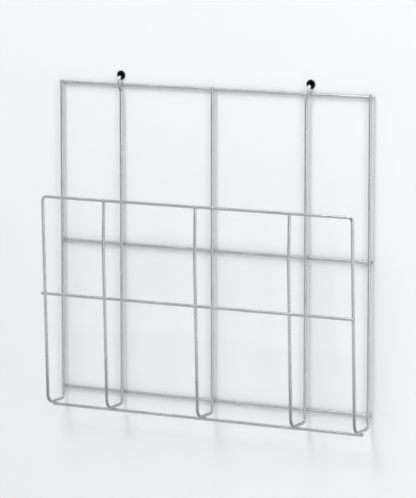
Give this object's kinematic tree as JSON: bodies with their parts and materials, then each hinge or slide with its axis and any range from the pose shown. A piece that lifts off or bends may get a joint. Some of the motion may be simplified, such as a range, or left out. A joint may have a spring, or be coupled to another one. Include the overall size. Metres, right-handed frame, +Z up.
{
  "type": "wire paper holder",
  "caption": "Shallow wall-hung basket of welded steel wire that holds papers upright, with hooks that hang in black plastic wall bushes.",
  "frame": {"origin": "on the wall's face, midway between the axes of the two wall bushes that the hooks hang in", "axes": "+Z up, +X to the right as seen by a person facing the holder, +Y into the wall along the bushes' axes"},
  "size_m": [0.2742, 0.0504, 0.2701],
  "materials": {
    "plated_wire": "satin bright nickel plate on drawn steel wire",
    "bush_plastic": "moulded black, fine matt"
  },
  "bodies": {
    "wall_bushes": {"left_wall_bush": "bush_plastic", "right_wall_bush": "bush_plastic"},
    "wire_rack": {"basket_frame_wire": "plated_wire", "left_hook_wire": "plated_wire", "centre_wire": "plated_wire", "right_hook_wire": "plated_wire", "back_top_rail": "plated_wire", "back_middle_rail": "plated_wire", "back_bottom_rail": "plated_wire", "bottom_rail": "plated_wire", "front_middle_rail": "plated_wire"}
  },
  "joints": [
    {"name": "rack_swing", "type": "hinge", "parent": "wall_bushes", "child": "wire_rack", "pos_m": [0, 0.012, -0.00237], "axis": [-1, 0, 0], "range_deg": [0, 10]}
  ]
}
